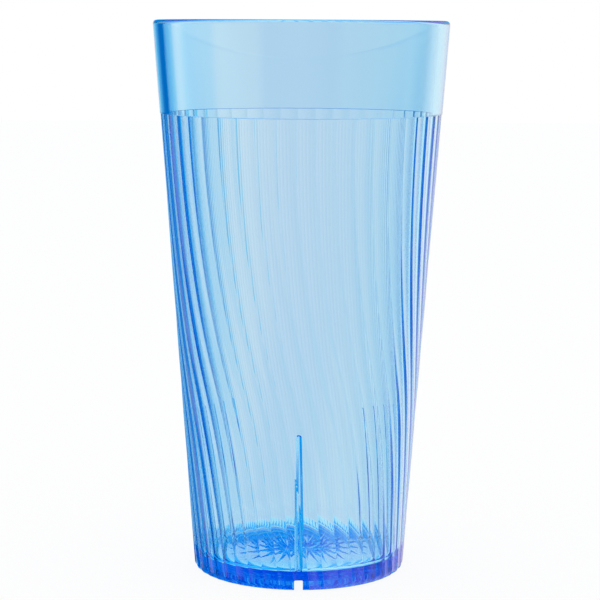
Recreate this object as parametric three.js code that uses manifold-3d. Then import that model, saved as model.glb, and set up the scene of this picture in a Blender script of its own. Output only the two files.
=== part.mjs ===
// Plastic tumbler for cold drinks, moulded in one piece from clear blue styrene plastic.
// The outside is a plain cone with a smooth drinking band at the top. Below the band the wall is
// cut by hollow flutes that start upright under a small ledge and swirl round the cup on their way down.
// The inside is smooth, with three upright stacking lugs that hold a nested tumbler clear of the
// wall, and a star pressed into the floor. The underside is a shallow dish, and the cup stands on
// the narrow ring round it, which has three drain notches.
// Millimetres, +Z up. The origin is on the table at the middle of the foot, and the front is -Y.
import * as THREE from 'three';
import { mergeVertices } from 'three/addons/utils/BufferGeometryUtils.js';
import Module from 'manifold-3d';

const wasm = await Module();
wasm.setup();

// The whole cup
const HEIGHT = 164;
const RIM_RADIUS = 43.8;
const FOOT_RADIUS = 31.5;
const WALL = 2.85;
const LIP_ROUND = 1.2;
const LIP_EASE_WIDTH = 1.5;
const LIP_EASE_HEIGHT = 2.4;
const CUT_OVERRUN = 2;

// The band and the flutes under it
const BAND_HEIGHT = 27.3;
const LEDGE_STEP = 0.2;
const FLUTES = 45;
const FLUTE_RADIUS = 15;
const FLUTE_START_TURN = -2.6;
const SWIRL_STEEPEST_HEIGHT = 60;
const SWIRL_STEEPEST_LEAN = 15.9;
const SWIRL_STEEPEST_TURN = 15.5;
const SWIRL_FOOT_LEAN = 6.3;
const SWIRL_FOOT_TURN = 32.5;

// The foot and the floor
const FOOT_CORNER = 1.9;
const FOOT_LAND = 1;
const DISH_RIM_WIDTH = 3.3;
const DISH_RIM_HEIGHT = 2.1;
const DISH_RISE = 0.7;
const FLOOR_THICKNESS = 2.5;
const FLOOR_FILLET = 2.4;
const NOTCHES = 3;
const NOTCH_WIDTH = 2.5;
const NOTCH_HEIGHT = 3.3;
const NOTCH_MOUTH_ROUND = 0.4;

// The stacking lugs
const LUGS = 3;
const LUG_HEIGHT = 46.4;
const LUG_DEPTH = 1.7;
const LUG_SUNK = 0.4;
const LUG_TOP_WIDTH = 1.3;
const LUG_FOOT_WIDTH = 2.2;
const LUG_TOP_ROUND = 0.5;

// The star on the floor
const STAR_POINTS = 16;
const STAR_RADIUS = 21;
const STAR_NOTCH_RADIUS = 7;
const STAR_RISE = 0.8;
const STAR_SUNK = 0.2;

// How finely round surfaces are divided
const STEPS_PER_FLUTE = 4;
const SWIRL_LEVELS = 14;
const CORNER_STEPS = 3;
const DISH_STEPS = 3;
const LUG_SEGMENTS = 16;
const ROUND_SEGMENTS = 90;

// Heights and radii that follow from the sizes above
const ledgeHeight = HEIGHT - BAND_HEIGHT;
const dishHeight = DISH_RIM_HEIGHT + DISH_RISE;
const floorHeight = dishHeight + FLOOR_THICKNESS;
const footEdgeRadius = coneRadius(0) - FOOT_CORNER;
const dishRadius = footEdgeRadius - FOOT_LAND;
const domeRadius = dishRadius - DISH_RIM_WIDTH;
const flutePitch = 2 * Math.PI / FLUTES;

// Radius of the plain outer cone at a height
function coneRadius(z) {
  return FOOT_RADIUS + (RIM_RADIUS - FOOT_RADIUS) * z / HEIGHT;
}

function innerRadius(z) {
  return coneRadius(z) - WALL;
}

// A smooth curve between two values, with a given slope at each end, for a share from 0 to 1
function blend(share, from, fromSlope, to, toSlope) {
  const left = 1 - share;
  const start = (from * (1 + 2 * share) + fromSlope * share) * left * left;
  const end = (to * (1 + 2 * left) - toSlope * left) * share * share;
  return start + end;
}

// Turn of the flutes per millimetre down the cup, for a lean from upright at a height
function turnRate(lean, z) {
  return Math.tan(THREE.MathUtils.degToRad(lean)) / coneRadius(z);
}

// How far round the cup the flutes have turned at a height, counted from the front
function fluteTurn(z) {
  const start = THREE.MathUtils.degToRad(FLUTE_START_TURN);
  const steepest = start + THREE.MathUtils.degToRad(SWIRL_STEEPEST_TURN);
  const foot = start + THREE.MathUtils.degToRad(SWIRL_FOOT_TURN);
  const steepestRate = turnRate(SWIRL_STEEPEST_LEAN, SWIRL_STEEPEST_HEIGHT);
  const upperLength = ledgeHeight - SWIRL_STEEPEST_HEIGHT;
  if (z >= SWIRL_STEEPEST_HEIGHT) {
    const share = Math.min((ledgeHeight - z) / upperLength, 1);
    return z >= ledgeHeight ? start : blend(share, start, 0, steepest, steepestRate * upperLength);
  }
  const share = (SWIRL_STEEPEST_HEIGHT - z) / SWIRL_STEEPEST_HEIGHT;
  const footRate = turnRate(SWIRL_FOOT_LEAN, 0);
  return blend(share, steepest, steepestRate * SWIRL_STEEPEST_HEIGHT, foot, footRate * SWIRL_STEEPEST_HEIGHT);
}

// How far the hollow of a flute lies inside the circle of its crests, at an angle from its middle
function fluteDepth(crestRadius, angle) {
  const halfChord = crestRadius * Math.sin(flutePitch / 2);
  const chordDistance = crestRadius * Math.cos(flutePitch / 2);
  const centre = chordDistance + Math.sqrt(FLUTE_RADIUS ** 2 - halfChord ** 2);
  const across = centre * Math.sin(angle);
  return crestRadius - (centre * Math.cos(angle) - Math.sqrt(FLUTE_RADIUS ** 2 - across ** 2));
}

// A ring of points at a height. Each point lies the given inset inside the cone, and deeper in
// the flutes by the share of their full depth that shows there.
function ring(z, inset, fluteShare, coneHeight = z) {
  const points = [];
  const turn = fluteTurn(coneHeight);
  const radius = coneRadius(coneHeight) - inset;
  for (let flute = 0; flute < FLUTES; flute += 1) {
    for (let step = 0; step < STEPS_PER_FLUTE; step += 1) {
      const offset = flutePitch * (step / STEPS_PER_FLUTE - 1 / 2);
      const angle = turn + flutePitch * (flute + step / STEPS_PER_FLUTE);
      const reach = radius - fluteShare * fluteDepth(coneRadius(coneHeight), offset);
      points.push(new THREE.Vector3(reach * Math.sin(angle), -reach * Math.cos(angle), z));
    }
  }
  return points;
}

// Closes a stack of rings, lowest first, into one body with flat ends
function skin(rings) {
  const count = rings[0].length;
  const low = rings[0][0].z;
  const high = rings[rings.length - 1][0].z;
  const points = [...rings.flat(), new THREE.Vector3(0, 0, low), new THREE.Vector3(0, 0, high)];
  const index = [];
  const lowCentre = points.length - 2;
  const highCentre = points.length - 1;
  const topRow = (rings.length - 1) * count;
  for (let i = 0; i < count; i += 1) {
    const next = (i + 1) % count;
    for (let row = 0; row < rings.length - 1; row += 1) {
      const a = row * count + i;
      const b = row * count + next;
      index.push(a, b, b + count, a, b + count, a + count);
    }
    index.push(lowCentre, next, i);
    index.push(highCentre, topRow + i, topRow + next);
  }
  const geometry = new THREE.BufferGeometry().setFromPoints(points);
  geometry.setIndex(index);
  return geometry;
}

// The outside, solid right through: foot corner, fluted wall, ledge, band and lip
function outerBody() {
  const rings = [];
  for (let step = 0; step < CORNER_STEPS; step += 1) {
    const angle = Math.PI / 2 * step / CORNER_STEPS;
    const z = FOOT_CORNER * (1 - Math.cos(angle));
    rings.push(ring(z, FOOT_CORNER * (1 - Math.sin(angle)), Math.sin(angle), FOOT_CORNER));
  }
  const inset = LEDGE_STEP;
  for (let level = 0; level <= SWIRL_LEVELS; level += 1) {
    const z = FOOT_CORNER + (ledgeHeight - FOOT_CORNER) * level / SWIRL_LEVELS;
    rings.push(ring(z, inset * level / SWIRL_LEVELS, 1));
  }
  rings.push(ring(ledgeHeight, 0, 0));
  const shoulder = HEIGHT - LIP_ROUND;
  for (let step = 0; step <= CORNER_STEPS; step += 1) {
    const angle = Math.PI / 2 * step / CORNER_STEPS;
    rings.push(ring(shoulder + LIP_ROUND * Math.sin(angle), LIP_ROUND * (1 - Math.cos(angle)), 0, shoulder));
  }
  return skin(rings);
}

// Points of a quarter of an ellipse about a centre, from one angle to another
function arc(centreX, centreZ, width, height, from, to) {
  const points = [];
  for (let step = 0; step <= CORNER_STEPS; step += 1) {
    const angle = from + (to - from) * step / CORNER_STEPS;
    points.push(new THREE.Vector2(centreX + width * Math.cos(angle), centreZ + height * Math.sin(angle)));
  }
  return points;
}

// Turns a profile of radius and height round the upright axis
function turned(profile, segments = ROUND_SEGMENTS) {
  const geometry = new THREE.LatheGeometry(profile, segments);
  geometry.rotateX(Math.PI / 2);
  return geometry;
}

// What the drink fills, with the rounding at the foot of the wall and inside the lip
function cavity() {
  const wallFoot = floorHeight + FLOOR_FILLET;
  const shoulder = HEIGHT - LIP_EASE_HEIGHT;
  const lipRadius = innerRadius(shoulder) + LIP_EASE_WIDTH;
  return turned([
    new THREE.Vector2(0, floorHeight),
    ...arc(innerRadius(wallFoot) - FLOOR_FILLET, wallFoot, FLOOR_FILLET, FLOOR_FILLET, -Math.PI / 2, 0),
    ...arc(lipRadius, shoulder, LIP_EASE_WIDTH, LIP_EASE_HEIGHT, Math.PI, Math.PI / 2),
    new THREE.Vector2(lipRadius, HEIGHT + CUT_OVERRUN),
    new THREE.Vector2(0, HEIGHT + CUT_OVERRUN),
  ]);
}

// The shallow dish under the floor: a sloping rim, then a low dome to the middle
function dish() {
  const profile = [
    new THREE.Vector2(0, -CUT_OVERRUN),
    new THREE.Vector2(dishRadius, -CUT_OVERRUN),
    new THREE.Vector2(dishRadius, 0),
  ];
  for (let step = DISH_STEPS; step >= 0; step -= 1) {
    const share = step / DISH_STEPS;
    profile.push(new THREE.Vector2(domeRadius * share, dishHeight - DISH_RISE * share ** 2));
  }
  return turned(profile);
}

// A slot through the foot ring that lets water drain when the cup stands upright
function notch() {
  const side = NOTCH_WIDTH / 2;
  const mouth = NOTCH_MOUTH_ROUND;
  const shape = new THREE.Shape();
  shape.moveTo(-side - mouth, -CUT_OVERRUN);
  shape.lineTo(side + mouth, -CUT_OVERRUN);
  shape.lineTo(side + mouth, 0);
  shape.absarc(side + mouth, mouth, mouth, -Math.PI / 2, -Math.PI, true);
  shape.lineTo(side, NOTCH_HEIGHT);
  shape.lineTo(-side, NOTCH_HEIGHT);
  shape.absarc(-side - mouth, mouth, mouth, 0, -Math.PI / 2, true);
  shape.closePath();
  const inner = domeRadius - CUT_OVERRUN;
  const depth = coneRadius(NOTCH_HEIGHT) + CUT_OVERRUN - inner;
  const geometry = new THREE.ExtrudeGeometry(shape, { depth, bevelEnabled: false, curveSegments: CORNER_STEPS });
  geometry.rotateX(Math.PI / 2);
  geometry.translate(0, -inner, 0);
  return geometry;
}

// An upright lug on the inner wall: a tapered bead that leans with the wall and has a rounded top.
// Its outer half stays inside the wall.
function lug() {
  const root = floorHeight - FLOOR_THICKNESS / 2;
  const shoulder = LUG_HEIGHT - LUG_TOP_ROUND;
  const geometry = turned([
    new THREE.Vector2(0, root),
    new THREE.Vector2(LUG_FOOT_WIDTH / 2, root),
    ...arc(LUG_TOP_WIDTH / 2 - LUG_TOP_ROUND, shoulder, LUG_TOP_ROUND, LUG_TOP_ROUND, 0, Math.PI / 2),
    new THREE.Vector2(0, LUG_HEIGHT),
  ], LUG_SEGMENTS);
  const points = geometry.attributes.position;
  for (let i = 0; i < points.count; i += 1) {
    const z = points.getZ(i);
    const share = (z - root) / (LUG_HEIGHT - root);
    const halfWidth = THREE.MathUtils.lerp(LUG_FOOT_WIDTH, LUG_TOP_WIDTH, share) / 2;
    const depth = points.getY(i) < 0 ? WALL / 2 : LUG_DEPTH + LUG_SUNK;
    points.setY(i, points.getY(i) / halfWidth * depth - innerRadius(z) - LUG_SUNK);
  }
  return geometry;
}

// The star: sharp ridges run from a raised middle to its points, with valleys between them. It is
// a shallow pyramid on a star-shaped foot, sunk a little way so that its outline lies on the floor.
function star() {
  const root = floorHeight - STAR_SUNK;
  const spread = (STAR_RISE + STAR_SUNK) / STAR_RISE;
  const points = [new THREE.Vector3(0, 0, floorHeight + STAR_RISE), new THREE.Vector3(0, 0, root)];
  const index = [];
  const corners = STAR_POINTS * 2;
  for (let i = 0; i < corners; i += 1) {
    const radius = spread * (i % 2 === 0 ? STAR_RADIUS : STAR_NOTCH_RADIUS);
    const angle = 2 * Math.PI * i / corners;
    points.push(new THREE.Vector3(radius * Math.sin(angle), -radius * Math.cos(angle), root));
    const next = 2 + (i + 1) % corners;
    index.push(0, 2 + i, next);
    index.push(1, next, 2 + i);
  }
  const geometry = new THREE.BufferGeometry().setFromPoints(points);
  geometry.setIndex(index);
  return geometry;
}

// A closed geometry as a solid that can be joined and cut
function solid(geometry) {
  const bare = geometry.clone();
  bare.deleteAttribute('normal');
  bare.deleteAttribute('uv');
  const merged = mergeVertices(bare);
  return new wasm.Manifold(new wasm.Mesh({
    numProp: 3,
    vertProperties: merged.attributes.position.array,
    triVerts: new Uint32Array(merged.index.array),
  }));
}

// A solid as a geometry again
function geometryOf(body) {
  const mesh = body.getMesh();
  const geometry = new THREE.BufferGeometry();
  geometry.setAttribute('position', new THREE.BufferAttribute(mesh.vertProperties, 3));
  geometry.setIndex(new THREE.BufferAttribute(mesh.triVerts, 1));
  geometry.computeVertexNormals();
  return geometry;
}

// Copies of a piece spread evenly round the upright axis, the first at the front
function around(count, make) {
  return Array.from({ length: count }, (unused, i) => solid(make().rotateZ(2 * Math.PI * i / count)));
}

let body = solid(outerBody()).subtract(solid(cavity())).subtract(solid(dish()));
for (const slot of around(NOTCHES, notch)) {
  body = body.subtract(slot);
}
for (const piece of [...around(LUGS, lug), solid(star())]) {
  body = body.add(piece);
}

const plastic = new THREE.MeshStandardMaterial({
  color: 0x5ab4f0,
  roughness: 0.05,
  metalness: 0,
  transparent: true,
  opacity: 0.6,
});

const tumbler = new THREE.Mesh(geometryOf(body), plastic);
tumbler.name = 'tumbler';

const part = new THREE.Group();
part.add(tumbler);

export default part;
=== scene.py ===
# %% [markdown]
# # A clear plastic tumbler
# The real tumbler is moulded in one shot from clear blue plastic, so everything that it shows comes
# from its shape and from how light bends and dims on its way through. The measured solid is loaded
# first. It gives the cup's place and its real size, and the finer surface that is built below has
# to stay on it.

# %% Load the measured solid
import math

import bmesh
import bpy
from mathutils import Matrix, Vector


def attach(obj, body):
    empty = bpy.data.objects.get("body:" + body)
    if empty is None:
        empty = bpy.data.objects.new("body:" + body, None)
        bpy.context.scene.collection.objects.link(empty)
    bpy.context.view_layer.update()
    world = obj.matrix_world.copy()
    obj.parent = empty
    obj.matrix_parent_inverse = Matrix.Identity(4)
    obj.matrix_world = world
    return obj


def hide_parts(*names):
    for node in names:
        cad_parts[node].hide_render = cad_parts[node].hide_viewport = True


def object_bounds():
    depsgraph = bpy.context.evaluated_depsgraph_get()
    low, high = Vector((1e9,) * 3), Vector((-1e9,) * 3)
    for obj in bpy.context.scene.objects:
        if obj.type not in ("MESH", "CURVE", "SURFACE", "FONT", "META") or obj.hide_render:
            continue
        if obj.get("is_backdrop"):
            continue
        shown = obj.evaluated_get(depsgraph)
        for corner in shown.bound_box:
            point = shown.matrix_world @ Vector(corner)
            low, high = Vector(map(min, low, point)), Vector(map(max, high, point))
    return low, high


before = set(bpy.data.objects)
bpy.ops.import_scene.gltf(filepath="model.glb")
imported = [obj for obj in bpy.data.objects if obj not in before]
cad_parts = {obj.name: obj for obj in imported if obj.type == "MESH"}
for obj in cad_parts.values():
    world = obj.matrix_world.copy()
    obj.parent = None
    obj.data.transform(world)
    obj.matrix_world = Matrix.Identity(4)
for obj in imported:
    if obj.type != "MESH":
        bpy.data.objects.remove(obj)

solid_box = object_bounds()
low, high = (Vector(corner) for corner in solid_box)
print("solid, mm:", [round(1000 * side, 1) for side in high - low])

# %% [markdown]
# ## The sizes
# A tumbler is a cone with a wall of even thickness. Its sizes are written once, in metres, and
# every later step reads them. The height comes from the measured solid itself. The rounding inside
# the lip is smaller than the solid's, and the lugs further down are wider, because that looked
# closer to the photograph under this scene's light.

# %% Sizes of the cup
mm = 0.001

height = high.z - low.z
rim_radius = 43.8 * mm
foot_radius = 31.5 * mm
wall = 2.85 * mm
lip_round = 1.2 * mm
lip_inside_width = 0.8 * mm
lip_inside_height = 0.9 * mm

ledge_height = height - 27.3 * mm
ledge_step = 0.2 * mm
ledge_round = 0.12 * mm

foot_corner = 1.9 * mm
foot_land = 1.0 * mm
dish_rim_width = 3.3 * mm
dish_rim_height = 2.1 * mm
dish_rise = 0.7 * mm
floor_thickness = 2.5 * mm
floor_height = dish_rim_height + dish_rise + floor_thickness
floor_fillet = 2.4 * mm


def cone_radius(z):
    """Radius of the plain outer cone at a height."""
    return foot_radius + (rim_radius - foot_radius) * z / height


def inner_radius(z):
    """Radius of the smooth inner wall at a height."""
    return cone_radius(z) - wall


print("rim radius, mm:", round(rim_radius / mm, 2), "floor at, mm:", round(floor_height / mm, 2))

# %% [markdown]
# ## The half outline
# A turned shape is drawn once, as the line that a cut through the axis would show. This one starts
# in the middle of the dish under the floor, goes out over the narrow ring that the cup stands on,
# up the wall, over the lip and down the inside to the middle of the floor. Rounded corners are
# short arcs. The stretch that will carry the flutes gets many points, because they will be moved.
# The straight stretches of the walls and the floor also get a point close to each end: smooth
# shading then keeps a rounding as narrow as it is drawn, where otherwise it would seem to spread
# over the whole next face.

# %% Draw the half outline
corner_steps = 7
dome_steps = 8
swirl_levels = 76
wall_levels = 6
floor_levels = 7
hold = 0.15 * mm


def arc(centre, width, height, start, end, steps=corner_steps):
    """Points on a quarter of an ellipse in the plane of radius and height, both ends included."""
    angles = [start + (end - start) * step / steps for step in range(steps + 1)]
    return [(centre[0] + width * math.cos(a), centre[1] + height * math.sin(a)) for a in angles]


def stretch(start, end, steps):
    """Points between two ends, both left out, the first and the last close to them."""
    close = hold / math.dist(start, end)
    shares = [close] + [step / steps for step in range(1, steps)] + [1 - close]
    return [tuple(s + (e - s) * share for s, e in zip(start, end)) for share in shares]


def dome_height(share):
    """Height of the low dome under the floor, for a share of its radius."""
    return dish_rim_height + dish_rise * (1 - share**2)


quarter = math.pi / 2
foot_edge = cone_radius(foot_corner) - foot_corner
dish_radius = cone_radius(0) - foot_corner - foot_land
dome_radius = dish_radius - dish_rim_width
shoulder = height - lip_round
lip_foot = height - lip_inside_height
fillet_top = floor_height + floor_fillet

dome = [(dome_radius * step / dome_steps, dome_height(step / dome_steps)) for step in range(dome_steps + 1)]
foot_round = arc((foot_edge, foot_corner), foot_corner, foot_corner, -quarter, 0)
ledge_edge = (cone_radius(ledge_height), ledge_height)
ledge_centre = (cone_radius(ledge_height) - ledge_step, ledge_height + ledge_round)
ledge = arc(ledge_centre, ledge_step, ledge_round, -quarter, 0, 4)
fluted_wall = stretch(foot_round[-1], ledge_edge, swirl_levels)
band = stretch(ledge[-1], (cone_radius(shoulder), shoulder), wall_levels)
lip_outside = arc((cone_radius(shoulder) - lip_round, shoulder), lip_round, lip_round, 0, quarter)
lip_centre = (inner_radius(lip_foot) + lip_inside_width, lip_foot)
lip_inside = arc(lip_centre, lip_inside_width, lip_inside_height, quarter, 2 * quarter)
inner_wall = stretch(lip_inside[-1], (inner_radius(fillet_top), fillet_top), wall_levels)
fillet_centre = (inner_radius(fillet_top) - floor_fillet, fillet_top)
floor_corner = arc(fillet_centre, floor_fillet, floor_fillet, 0, -quarter)
floor = stretch(floor_corner[-1], (0, floor_height), floor_levels) + [(0, floor_height)]

outline = dome + [(dish_radius, 0)] + foot_round + fluted_wall + ledge + band
outline += lip_outside + lip_inside + inner_wall + floor_corner + floor
print("points in the half outline:", len(outline))

# %% [markdown]
# ## Spinning the cup
# The outline could be spun once right round the axis, but that is slow with so many points. It is
# spun through the width of one flute instead, and that slice is then repeated round the axis and
# sewn up. Each flute gets the same columns of points, so that one always falls on the sharp crest
# between two flutes.

# %% Spin one slice and repeat it
flutes = 45
steps_per_flute = 14
pitch = 2 * math.pi / flutes

cup_mesh = bmesh.new()
points = [cup_mesh.verts.new((0, -radius, z)) for radius, z in outline]
edges = [cup_mesh.edges.new(pair) for pair in zip(points, points[1:])]
upright = {"axis": (0, 0, 1), "cent": (0, 0, 0)}
bmesh.ops.spin(cup_mesh, geom=points + edges, angle=pitch, steps=steps_per_flute, **upright)
one_slice = cup_mesh.verts[:] + cup_mesh.edges[:] + cup_mesh.faces[:]
bmesh.ops.spin(
    cup_mesh, geom=one_slice, angle=2 * math.pi - pitch, steps=flutes - 1, use_duplicate=True, **upright
)
bmesh.ops.remove_doubles(cup_mesh, verts=cup_mesh.verts, dist=0.001 * mm)
bmesh.ops.recalc_face_normals(cup_mesh, faces=cup_mesh.faces)
print("spun points:", len(cup_mesh.verts), "volume, ml:", round(cup_mesh.calc_volume(signed=True) * 1e6, 1))

# %% [markdown]
# ## The swirl
# The flutes start upright at the ledge, lean over more and more on the way down, and straighten
# again towards the foot. Two smooth curves that share their value and slope where the lean is
# greatest give that turn at any height.

# %% How far the flutes have turned
start_turn = math.radians(-2.6)
steepest_height = 60 * mm
steepest_turn = start_turn + math.radians(15.5)
foot_turn = start_turn + math.radians(32.5)
steepest_rate = math.tan(math.radians(15.9)) / cone_radius(steepest_height)
foot_rate = math.tan(math.radians(6.3)) / cone_radius(0)


def blend(share, start, start_slope, end, end_slope):
    """A smooth curve between two values with a given slope at each end."""
    left = 1 - share
    first = (start * (1 + 2 * share) + start_slope * share) * left * left
    return first + (end * (1 + 2 * left) - end_slope * left) * share * share


def flute_turn(z):
    """Turn of the flutes at a height, in radians from the front."""
    upper = ledge_height - steepest_height
    if z >= ledge_height:
        return start_turn
    if z >= steepest_height:
        return blend((ledge_height - z) / upper, start_turn, 0, steepest_turn, steepest_rate * upper)
    lower = steepest_height
    share = (lower - z) / lower
    return blend(share, steepest_turn, steepest_rate * lower, foot_turn, foot_rate * lower)


print("turn at the foot, degrees:", round(math.degrees(flute_turn(0)), 1))

# %% [markdown]
# ## The flutes
# Each flute is the hollow that a round cutter leaves in the mould's wall. Its depth at an angle
# from the flute's middle is worked out from that circle. The columns next to a crest are drawn up
# to it first, so that it turns over within a fraction of a millimetre, as a moulded one does. The
# others are spread evenly, because uneven ones show as fine lines in clear plastic.

# %% Press the flutes into the wall
flute_radius = 15 * mm
crest_share = 0.045


def flute_depth(radius, angle):
    """Depth of a flute inside the crest circle, at an angle from the flute's middle."""
    half_chord = radius * math.sin(pitch / 2)
    centre = radius * math.cos(pitch / 2) + math.sqrt(flute_radius**2 - half_chord**2)
    return radius - centre * math.cos(angle) + math.sqrt(flute_radius**2 - (centre * math.sin(angle)) ** 2)


def gather(share):
    """Where a column goes, for its share of the way from one crest to the next."""
    column, even = share * steps_per_flute, steps_per_flute - 2
    near_crest = min(column, 1) + max(column - even - 1, 0)
    return crest_share * near_crest + (1 - 2 * crest_share) * min(max(column - 1, 0), even) / even


def is_under_floor(radius, z):
    """True in the dish under the floor."""
    return z < dish_rim_height + dish_rise + 0.1 * mm and radius < dish_radius + 0.01 * mm


def is_fluted(radius, z):
    """True on the outside from the foot to the ledge's inner edge."""
    if z > ledge_height - 0.01 * mm:
        return z < ledge_height + 0.001 * mm
    return radius > cone_radius(z) - wall / 2 or z < 0.3 * mm


for vert in cup_mesh.verts:
    radius, z = math.hypot(vert.co.x, vert.co.y), vert.co.z
    angle = math.atan2(vert.co.x, -vert.co.y)
    share = (angle / pitch) % 1
    turn, inset, gathered = start_turn, 0, share
    if is_under_floor(radius, z):
        turn, gathered = foot_turn, gather(share)
    elif is_fluted(radius, z):
        turn, gathered = flute_turn(z), gather(share)
        corner_share = min(max((radius - foot_edge) / foot_corner, 0), 1)
        fade = corner_share if z < foot_corner else 1
        inset = fade * flute_depth(cone_radius(z), (gathered - 0.5) * pitch)
        if z < ledge_height - 0.01 * mm:
            inset += ledge_step * z / ledge_height
    turned = angle + (gathered - share) * pitch + turn
    reach = radius - inset
    vert.co = (reach * math.sin(turned), -reach * math.cos(turned), z)

print("flute depth, mm:", round(flute_depth(cone_radius(ledge_height), 0) / mm, 2))

# %% [markdown]
# ## From loose mesh to object
# A small helper puts a finished mesh into the scene with its object at the origin. A second one
# repeats a piece round the axis, and a third joins such pieces to the cup or cuts them out of it.
# The exact Boolean solver is used, because it leaves the cup one closed body.

# %% Helpers for objects, copies and cuts
def add_object(mesh_in_work, name):
    """Turns a bmesh into an object at the origin."""
    mesh = bpy.data.meshes.new(name)
    mesh_in_work.to_mesh(mesh)
    mesh_in_work.free()
    piece = bpy.data.objects.new(name, mesh)
    bpy.context.scene.collection.objects.link(piece)
    return piece


def repeat_round(make, count, name):
    """Copies of a piece spread evenly round the axis, the first at the front."""
    ring = bmesh.new()
    for copy in range(count):
        one = make()
        bmesh.ops.rotate(one, verts=one.verts, matrix=Matrix.Rotation(2 * math.pi * copy / count, 3, "Z"))
        spare = bpy.data.meshes.new("spare")
        one.to_mesh(spare)
        one.free()
        ring.from_mesh(spare)
        bpy.data.meshes.remove(spare)
    return add_object(ring, name)


def combine(target, tool, operation):
    """Joins the tool to the target, or cuts it out, and applies the result."""
    step = target.modifiers.new(operation, "BOOLEAN")
    step.object = tool
    step.operation = operation
    step.solver = "EXACT"
    graph = bpy.context.evaluated_depsgraph_get()
    finished = bpy.data.meshes.new_from_object(target.evaluated_get(graph))
    plain = target.data
    target.modifiers.clear()
    target.data = finished
    bpy.data.meshes.remove(plain)
    bpy.data.objects.remove(tool)
    print(operation.lower(), "leaves", len(finished.vertices), "points")


cup = add_object(cup_mesh, "tumbler_body")

# %% [markdown]
# ## The stacking lugs
# Three slim upright beads on the inner wall hold a nested tumbler clear, so that a stack doesn't
# jam. Each starts as a tapered rod whose top edge is bevelled round. It is then leaned against the
# wall and stretched, so that half of it stands proud and half stays safely inside the wall.

# %% Three lugs on the inner wall
lugs = 3
lug_height = 46.4 * mm
lug_depth = 1.7 * mm
lug_sunk = 0.4 * mm
lug_top_width = 1.7 * mm
lug_foot_width = 2.7 * mm
lug_top_round = 0.5 * mm


def make_lug():
    """One lug, at the front."""
    bead = bmesh.new()
    root = floor_height - floor_thickness / 2
    length = lug_height - root
    bmesh.ops.create_cone(
        bead, cap_ends=True, segments=32, radius1=lug_foot_width / 2, radius2=lug_top_width / 2, depth=length
    )
    bmesh.ops.translate(bead, verts=bead.verts, vec=(0, 0, root + length / 2))
    crown = [edge for edge in bead.edges if all(v.co.z > lug_height - 0.01 * mm for v in edge.verts)]
    rounding = {"offset": lug_top_round, "segments": 5, "profile": 0.5, "affect": "EDGES", "material": -1}
    bmesh.ops.bevel(bead, geom=crown, **rounding)
    for vert in bead.verts:
        share = (vert.co.z - root) / length
        half_width = (lug_foot_width + (lug_top_width - lug_foot_width) * share) / 2
        depth = wall / 2 if vert.co.y < 0 else lug_depth + lug_sunk
        vert.co.y = vert.co.y / half_width * depth - inner_radius(vert.co.z) - lug_sunk
    bmesh.ops.recalc_face_normals(bead, faces=bead.faces)
    return bead


combine(cup, repeat_round(make_lug, lugs, "lugs"), "UNION")

# %% [markdown]
# ## The drain notches
# Three slots through the foot ring let water run out from under the cup in a dish washer. The
# slot's section is drawn as one face, with a rounded roof and with a mouth that flares where it
# meets the table, and is then pushed out through the ring.

# %% Three notches in the foot ring
notches = 3
notch_width = 2.5 * mm
notch_height = 3.3 * mm
notch_roof_round = 0.35 * mm
notch_mouth_round = 0.45 * mm
overrun = 2 * mm


def make_notch():
    """One notch's cutter, at the front."""
    side, mouth, roof = notch_width / 2, notch_mouth_round, notch_roof_round
    flare = arc((side + mouth, mouth), mouth, mouth, 3 * quarter, 2 * quarter, 4)
    corner = arc((side - roof, notch_height - roof), roof, roof, 0, quarter, 4)
    half = [(side + mouth, -overrun)] + flare + corner
    section = half + [(-x, z) for x, z in reversed(half)]
    inner = dome_radius - overrun
    outer = cone_radius(notch_height) + overrun
    bar = bmesh.new()
    face = bar.faces.new([bar.verts.new((x, -inner, z)) for x, z in section])
    grown = bmesh.ops.extrude_face_region(bar, geom=[face])["geom"]
    moved = [part for part in grown if isinstance(part, bmesh.types.BMVert)]
    bmesh.ops.translate(bar, verts=moved, vec=(0, inner - outer, 0))
    bmesh.ops.recalc_face_normals(bar, faces=bar.faces)
    return bar


combine(cup, repeat_round(make_notch, notches, "notches"), "DIFFERENCE")

# %% [markdown]
# ## The star in the floor
# The mould's floor carries a star of low ridges that meet in the middle, which hides the mark where
# the plastic was shot in. A flat star-shaped face is poked, so that every edge gets a facet up to
# the middle, and the middle is raised a little. Its outline is sunk so that it lies on the floor.

# %% One star
star_points = 16
star_radius = 21 * mm
star_notch_radius = 7 * mm
star_rise = 0.8 * mm
star_sunk = 0.2 * mm


def make_star():
    """The low star, in the middle of the floor."""
    star = bmesh.new()
    spread = (star_rise + star_sunk) / star_rise
    corners = []
    for corner in range(2 * star_points):
        radius = spread * (star_notch_radius if corner % 2 else star_radius)
        angle = math.pi * corner / star_points
        corners.append(star.verts.new((radius * math.sin(angle), -radius * math.cos(angle), 0)))
    face = star.faces.new(corners)
    bmesh.ops.duplicate(star, geom=[face])
    middle = bmesh.ops.poke(star, faces=[face])["verts"][0]
    middle.co.z = star_rise + star_sunk
    bmesh.ops.remove_doubles(star, verts=star.verts, dist=0.001 * mm)
    bmesh.ops.translate(star, verts=star.verts, vec=(0, 0, floor_height - star_sunk))
    bmesh.ops.recalc_face_normals(star, faces=star.faces)
    print("star facets:", len(star.faces) - 1)
    return star


combine(cup, add_object(make_star(), "star"), "UNION")

# %% [markdown]
# ## Smooth faces and crisp edges
# Light through clear plastic shows every kink in the shading, so all faces are shaded smooth, and
# only edges that turn by more than a set angle stay crisp: the ledge, the lugs' feet, the notches
# and the foot's inner edge. The crests of the flutes turn less than that, step by step, so they
# stay smooth over their tiny rounding.

# %% Shade the cup and check that it is closed
crisp_angle = 35
cup.data.shade_smooth()
cup.data.set_sharp_from_angle(angle=math.radians(crisp_angle))

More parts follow.
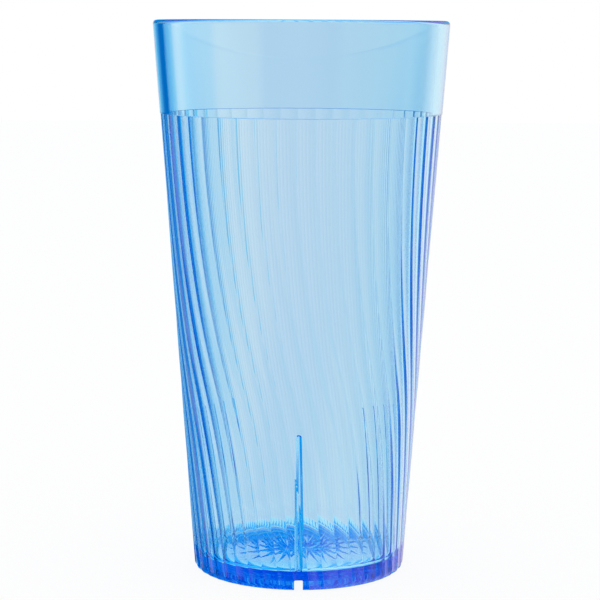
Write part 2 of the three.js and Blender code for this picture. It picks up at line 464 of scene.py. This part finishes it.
check = bmesh.new()
check.from_mesh(cup.data)
open_edges = sum(not edge.is_manifold for edge in check.edges)
print("open edges:", open_edges, "plastic, ml:", round(check.calc_volume() * 1e6, 1))
check.free()

# %% [markdown]
# ## The moulded surface
# A polished mould still leaves a faint ripple in the plastic, strongest in the thick floor, where
# it sinks as it cools. Handling adds fine scuffs, most of them round the foot that slides on
# tables. Both are patterns over the surface, so they are made once, as a node group that gives a
# height for the ripple and a mask for the scuffs.

# %% Node group for ripple and scuffs
moulding = bpy.data.node_groups.new("moulded_surface", "ShaderNodeTree")
for name, kind, value in (
    ("Position", "NodeSocketVector", None),
    ("Ripple Size", "NodeSocketFloat", 60.0),
    ("Ripple Stretch", "NodeSocketFloat", 0.35),
    ("Foot Height", "NodeSocketFloat", 0.008),
    ("Scuff Size", "NodeSocketFloat", 900.0),
):
    socket = moulding.interface.new_socket(name=name, in_out="INPUT", socket_type=kind)
    if value is not None:
        socket.default_value = value
for name in ("Ripple", "Scuffs"):
    moulding.interface.new_socket(name=name, in_out="OUTPUT", socket_type="NodeSocketFloat")


def add_node(tree, kind, **values):
    """A node in a tree, with some of its settings given by name."""
    node = tree.nodes.new(kind)
    for name, value in values.items():
        setattr(node, name, value)
    return node


def maths(tree, operation, first, second=None):
    """A Math node on two values or sockets."""
    node = add_node(tree, "ShaderNodeMath", operation=operation)
    for slot, value in enumerate((first, second)):
        if isinstance(value, (int, float)):
            node.inputs[slot].default_value = value
        elif value is not None:
            tree.links.new(value, node.inputs[slot])
    return node.outputs[0]


given = add_node(moulding, "NodeGroupInput").outputs
result = add_node(moulding, "NodeGroupOutput").inputs

parts = add_node(moulding, "ShaderNodeSeparateXYZ")
moulding.links.new(given["Position"], parts.inputs[0])
squeezed = add_node(moulding, "ShaderNodeCombineXYZ")
moulding.links.new(parts.outputs["X"], squeezed.inputs["X"])
moulding.links.new(parts.outputs["Y"], squeezed.inputs["Y"])
squeezed_height = maths(moulding, "MULTIPLY", parts.outputs["Z"], given["Ripple Stretch"])
moulding.links.new(squeezed_height, squeezed.inputs["Z"])

ripple = add_node(moulding, "ShaderNodeTexNoise")
ripple.inputs["Detail"].default_value = 2.0
moulding.links.new(squeezed.outputs[0], ripple.inputs["Vector"])
moulding.links.new(given["Ripple Size"], ripple.inputs["Scale"])

foot = add_node(moulding, "ShaderNodeMapRange", interpolation_type="SMOOTHSTEP")
moulding.links.new(parts.outputs["Z"], foot.inputs["Value"])
moulding.links.new(given["Foot Height"], foot.inputs["From Max"])
foot.inputs["To Min"].default_value = 1.0
foot.inputs["To Max"].default_value = 0.0

scuff = add_node(moulding, "ShaderNodeTexNoise")
scuff.inputs["Detail"].default_value = 3.0
moulding.links.new(given["Position"], scuff.inputs["Vector"])
moulding.links.new(given["Scuff Size"], scuff.inputs["Scale"])
worn = add_node(moulding, "ShaderNodeMapRange")
moulding.links.new(scuff.outputs["Fac"], worn.inputs["Value"])
worn.inputs["From Min"].default_value = 0.55
worn.inputs["From Max"].default_value = 0.75

ripple_depth = maths(moulding, "MULTIPLY_ADD", foot.outputs[0], 1.0)
ripple_depth.node.inputs[2].default_value = 0.15
moulding.links.new(maths(moulding, "MULTIPLY", ripple.outputs["Fac"], ripple_depth), result["Ripple"])
moulding.links.new(maths(moulding, "MULTIPLY", worn.outputs[0], foot.outputs[0]), result["Scuffs"])
print("nodes in the group:", len(moulding.nodes))

# %% [markdown]
# ## The clear blue plastic
# Clear plastic bends light at its surface and takes colour out of it on the way through. So the
# surface itself is left colourless, and the blue comes from a volume that absorbs red quickly,
# green slowly and blue hardly at all: a thin wall is pale, and an edge seen lengthways is deep
# blue. A shadow ray can't bend, so it gets a plain tinted pass instead, and the cup throws a pale
# blue shadow rather than a black one.

# %% Material of the cup
plastic = bpy.data.materials.new("clear_blue_plastic")
plastic.use_nodes = True
tree = plastic.node_tree
shader = tree.nodes["Principled BSDF"]
shader.inputs["Base Color"].default_value = (1, 1, 1, 1)
shader.inputs["IOR"].default_value = 1.57
shader.inputs["Transmission Weight"].default_value = 1

position = add_node(tree, "ShaderNodeTexCoord")
surface = add_node(tree, "ShaderNodeGroup", node_tree=moulding)
tree.links.new(position.outputs["Object"], surface.inputs["Position"])
ripple_bump = add_node(tree, "ShaderNodeBump")
ripple_bump.inputs["Strength"].default_value = 0.6
ripple_bump.inputs["Distance"].default_value = 0.25 * mm
tree.links.new(surface.outputs["Ripple"], ripple_bump.inputs["Height"])
tree.links.new(ripple_bump.outputs["Normal"], shader.inputs["Normal"])
tree.links.new(maths(tree, "MULTIPLY", surface.outputs["Scuffs"], 0.12), shader.inputs["Roughness"])

inside = add_node(tree, "ShaderNodeVolumeAbsorption")
inside.inputs["Color"].default_value = (0.02, 0.7, 0.975, 1)
inside.inputs["Density"].default_value = 128
tree.links.new(inside.outputs["Volume"], tree.nodes["Material Output"].inputs["Volume"])

ray = add_node(tree, "ShaderNodeLightPath")
tinted = add_node(tree, "ShaderNodeBsdfTransparent")
tinted.inputs["Color"].default_value = (0.6, 0.85, 0.98, 1)
choose = add_node(tree, "ShaderNodeMixShader")
tree.links.new(ray.outputs["Is Shadow Ray"], choose.inputs[0])
tree.links.new(shader.outputs["BSDF"], choose.inputs[1])
tree.links.new(tinted.outputs["BSDF"], choose.inputs[2])
tree.links.new(choose.outputs["Shader"], tree.nodes["Material Output"].inputs["Surface"])

cup.data.materials.clear()
cup.data.materials.append(plastic)
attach(cup, "root")
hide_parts("tumbler")
print("the cup replaces the solid, with the finish", plastic.name)

# %% [markdown]
# ## The table
# The cup stands on a plain white table that runs on into a white background. To the camera it is
# nearly as bright as paper and keeps a faint shadow. Rays that come out of the plastic go on
# through it and see the rings of colour that come next. That is a shortcut, and it has a cost:
# the plastic doesn't show the white table that it stands on.

# %% White table
table_mesh = bmesh.new()
bmesh.ops.create_grid(table_mesh, x_segments=1, y_segments=1, size=3)
table = add_object(table_mesh, "table")

white = bpy.data.materials.new("white_table")
white.use_nodes = True
tree = white.node_tree
paint = tree.nodes["Principled BSDF"]
paint.inputs["Base Color"].default_value = (0.95, 0.95, 0.95, 1)
paint.inputs["Roughness"].default_value = 0.6
paper = add_node(tree, "ShaderNodeEmission")
ray = add_node(tree, "ShaderNodeLightPath")
lit = add_node(tree, "ShaderNodeMixShader")
tree.links.new(maths(tree, "MULTIPLY", ray.outputs["Is Camera Ray"], 0.9), lit.inputs[0])
tree.links.new(paint.outputs[0], lit.inputs[1])
tree.links.new(paper.outputs[0], lit.inputs[2])
glass_top = add_node(tree, "ShaderNodeBsdfTransparent")
through = add_node(tree, "ShaderNodeMixShader")
from_plastic = maths(tree, "MAXIMUM", ray.outputs["Is Glossy Ray"], ray.outputs["Is Transmission Ray"])
tree.links.new(from_plastic, through.inputs[0])
tree.links.new(lit.outputs[0], through.inputs[1])
tree.links.new(glass_top.outputs[0], through.inputs[2])
tree.links.new(through.outputs[0], tree.nodes["Material Output"].inputs["Surface"])
table.data.materials.append(white)
table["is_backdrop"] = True
print("table, m:", [round(side, 1) for side in table.dimensions])

# %% [markdown]
# ## The room
# Clear plastic has no look of its own: it shows what is round it, bent. Here the rays from the
# plastic see three rings of colour, one below the cup, one level with it and one above it, that
# pass softly into each other. The camera and all other light see plain white.
#
# These rings are not a good way to light a cup. They are no real room and no plain studio light:
# their colours were fitted until the front of the cup looked like its photograph. So part of the
# deep blue comes from the rings and not from the plastic, and from behind the same cup looks a
# much deeper blue. A sounder scene is plain white all round, with the plastic's own colour set
# there.

# %% Rings of colour round the cup
room = bpy.data.worlds.new("room")
room.use_nodes = True
bpy.context.scene.world = room
tree = room.node_tree

direction = add_node(tree, "ShaderNodeTexCoord")
split = add_node(tree, "ShaderNodeSeparateXYZ")
tree.links.new(direction.outputs["Generated"], split.inputs[0])
heading = maths(tree, "ARCTAN2", split.outputs["X"], split.outputs["Y"])
round_share = maths(tree, "ADD", maths(tree, "DIVIDE", heading, 2 * math.pi), 0.5)


def ring_of_light(stops):
    """Colours by heading: 0 degrees is straight behind the cup, 90 to its right, 180 in front."""
    ring = add_node(tree, "ShaderNodeValToRGB")
    tree.links.new(round_share, ring.inputs[0])
    elements = ring.color_ramp.elements
    elements.remove(elements[-1])
    for number, (heading_angle, colour) in enumerate(stops):
        stop = elements.new((heading_angle + 180) / 360) if number else elements[0]
        stop.color = (*colour, 1)
    print("stops in the ring:", len(stops))
    return ring.outputs["Color"]


low_ring = ring_of_light([
    (-180, (0.0, 0.5, 0.85)), (-125, (0.0, 0.45, 0.9)), (-105, (0.0, 0.5, 1.0)), (-90, (0.1, 0.9, 1.2)),
    (-70, (0.1, 0.8, 1.2)), (-55, (0.0, 0.5, 1.15)), (-38, (0.0, 0.45, 1.05)), (-17, (0.0, 0.52, 1.0)),
    (-11, (0.8, 1.0, 1.0)), (3, (0.8, 1.0, 1.0)), (9, (0.02, 0.54, 1.0)), (22, (0.0, 0.54, 1.0)),
    (35, (1.1, 1.15, 1.1)), (90, (1.2, 1.2, 1.1)), (160, (1.1, 1.1, 1.0)), (168, (0.1, 0.5, 0.85)),
    (180, (0.0, 0.5, 0.85)),
])
level_ring = ring_of_light([
    (-180, (0.45, 0.52, 0.72)), (-152, (0.35, 0.45, 0.7)), (-144, (1.1, 0.95, 0.85)),
    (-111, (1.15, 1.05, 0.95)), (-104, (0.0, 0.6, 0.95)), (-76, (0.0, 0.7, 1.1)), (-70, (1.0, 1.15, 1.15)),
    (-62, (0.9, 1.05, 1.1)), (-54, (0.05, 0.5, 0.9)), (-46, (0.0, 0.35, 0.78)), (-38, (0.0, 0.16, 0.5)),
    (-28, (0.0, 0.16, 0.5)), (-23, (0.2, 0.58, 0.85)), (-14.4, (0.42, 0.76, 0.86)),
    (-14, (1.06, 0.93, 0.93)), (6, (0.87, 0.84, 0.87)), (19, (0.88, 0.85, 0.88)),
    (24, (1.25, 1.08, 0.97)), (44, (1.25, 1.1, 1.0)), (58, (1.1, 1.1, 1.0)), (66, (0.25, 0.7, 0.8)),
    (76, (0.1, 0.5, 0.65)), (105, (0.1, 0.45, 0.6)), (135, (0.1, 0.3, 0.6)), (180, (0.45, 0.52, 0.72)),
])
high_ring = ring_of_light([
    (-180, (0.45, 0.52, 0.72)), (-152, (0.4, 0.48, 0.72)), (-140, (1.0, 0.95, 0.9)), (-110, (1.2, 1.1, 1.0)),
    (-60, (1.25, 1.25, 1.2)), (-42, (0.6, 1.2, 1.1)), (-28, (0.0, 0.6, 1.05)), (-8, (0.0, 0.42, 0.98)),
    (6, (0.0, 0.45, 0.98)), (20, (0.3, 0.8, 1.1)), (34, (1.1, 1.1, 1.1)), (105, (1.2, 1.1, 0.95)),
    (130, (0.5, 0.6, 0.7)), (150, (0.3, 0.42, 0.66)), (180, (0.45, 0.52, 0.72)),
])

# %% [markdown]
# ## Passing from ring to ring
# The height of a ray is the sine of how far it points up or down. A smooth step between two such
# heights fades one ring into the next.

# %% Join the rings and show them to the plastic alone
def fade(first, second, start, end):
    """Passes from one ring to the next between two slopes, in degrees above level."""
    share = add_node(tree, "ShaderNodeMapRange", interpolation_type="SMOOTHSTEP")
    share.inputs["From Min"].default_value = math.sin(math.radians(start))
    share.inputs["From Max"].default_value = math.sin(math.radians(end))
    tree.links.new(split.outputs["Z"], share.inputs["Value"])
    mixed = add_node(tree, "ShaderNodeMix", data_type="RGBA")
    tree.links.new(share.outputs[0], mixed.inputs[0])
    tree.links.new(first, mixed.inputs[6])
    tree.links.new(second, mixed.inputs[7])
    return mixed.outputs[2]


all_round = fade(fade(low_ring, level_ring, -22, -18), high_ring, 2, 6)
ray = add_node(tree, "ShaderNodeLightPath")
shown = add_node(tree, "ShaderNodeMix", data_type="RGBA")
shown.inputs[6].default_value = (1, 1, 1, 1)
from_plastic = maths(tree, "MAXIMUM", ray.outputs["Is Glossy Ray"], ray.outputs["Is Transmission Ray"])
tree.links.new(from_plastic, shown.inputs[0])
tree.links.new(all_round, shown.inputs[7])
tree.links.new(shown.outputs[2], tree.nodes["Background"].inputs["Color"])
tree.nodes["Background"].inputs["Strength"].default_value = 1
print("nodes in the room:", len(tree.nodes))

# %% [markdown]
# ## The camera
# The photograph looks slightly down at the cup from about 60 cm, with a long lens that keeps its
# sides nearly straight. Light can bounce many times inside a clear wall before it gets out, and a
# ray that is cut off too early would leave black lines, so more bounces are allowed than usual.

# %% Camera and light paths
lens_length = 121.2
camera_place = (0, -0.6, 0.16103)
degrees_down = 7.6
degrees_rolled = 0.31
most_bounces = 32

lens = bpy.data.cameras.new("camera")
lens.lens = lens_length
lens.clip_start = 0.01
camera = bpy.data.objects.new("camera", lens)
bpy.context.scene.collection.objects.link(camera)
look_down = Matrix.Rotation(math.radians(90 - degrees_down), 4, "X")
level_out = Matrix.Rotation(math.radians(degrees_rolled), 4, "Z")
camera.matrix_world = Matrix.Translation(camera_place) @ look_down @ level_out
bpy.context.scene.camera = camera
bpy.context.scene.view_settings.view_transform = "Standard"

bounces = bpy.context.scene.cycles
bounces.max_bounces = most_bounces
bounces.glossy_bounces = most_bounces
bounces.transmission_bounces = most_bounces
print("camera at, m:", [round(value, 3) for value in camera.matrix_world.translation])

# %% [markdown]
# ## Keeping to the measured size
# The finer surface has to stay within the measured solid. It comes out a few thousandths of a
# millimetre wider at the rim, because its circle is rounder than the solid's. Both boxes are
# measured here, and the largest difference between them is printed.

# %% Compare the boxes and finish
visual_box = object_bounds()
gaps = [abs(a - b) for solid, visual in zip(solid_box, visual_box) for a, b in zip(solid, visual)]
print("largest difference, mm:", round(max(gaps) / mm, 3))
